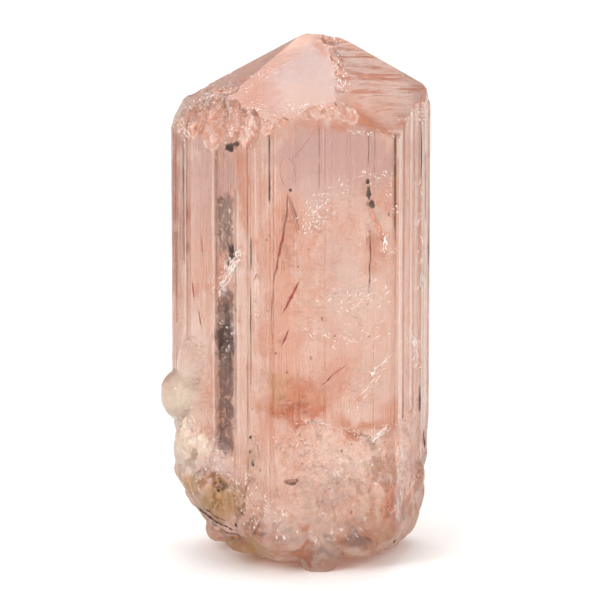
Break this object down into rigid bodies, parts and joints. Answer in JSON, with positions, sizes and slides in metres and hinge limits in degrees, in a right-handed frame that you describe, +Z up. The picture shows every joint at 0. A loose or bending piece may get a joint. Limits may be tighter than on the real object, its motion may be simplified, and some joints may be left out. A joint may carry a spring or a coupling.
{
  "type": "morganite crystal",
  "caption": "Pink-orange morganite crystal: a striated hexagonal prism with a low chipped point and a rough lumpy foot, cut flat to stand on.",
  "frame": {"origin": "middle of the bounding box in plan, at the level of the flat foot", "axes": "+Z up along the prism, -Y towards the viewer of the picture, +X to the viewer's right"},
  "size_m": [0.027, 0.0234, 0.0528],
  "materials": {
    "morganite": "glossy"
  },
  "bodies": {
    "root": {"morganite_crystal": "morganite"}
  },
  "joints": []
}
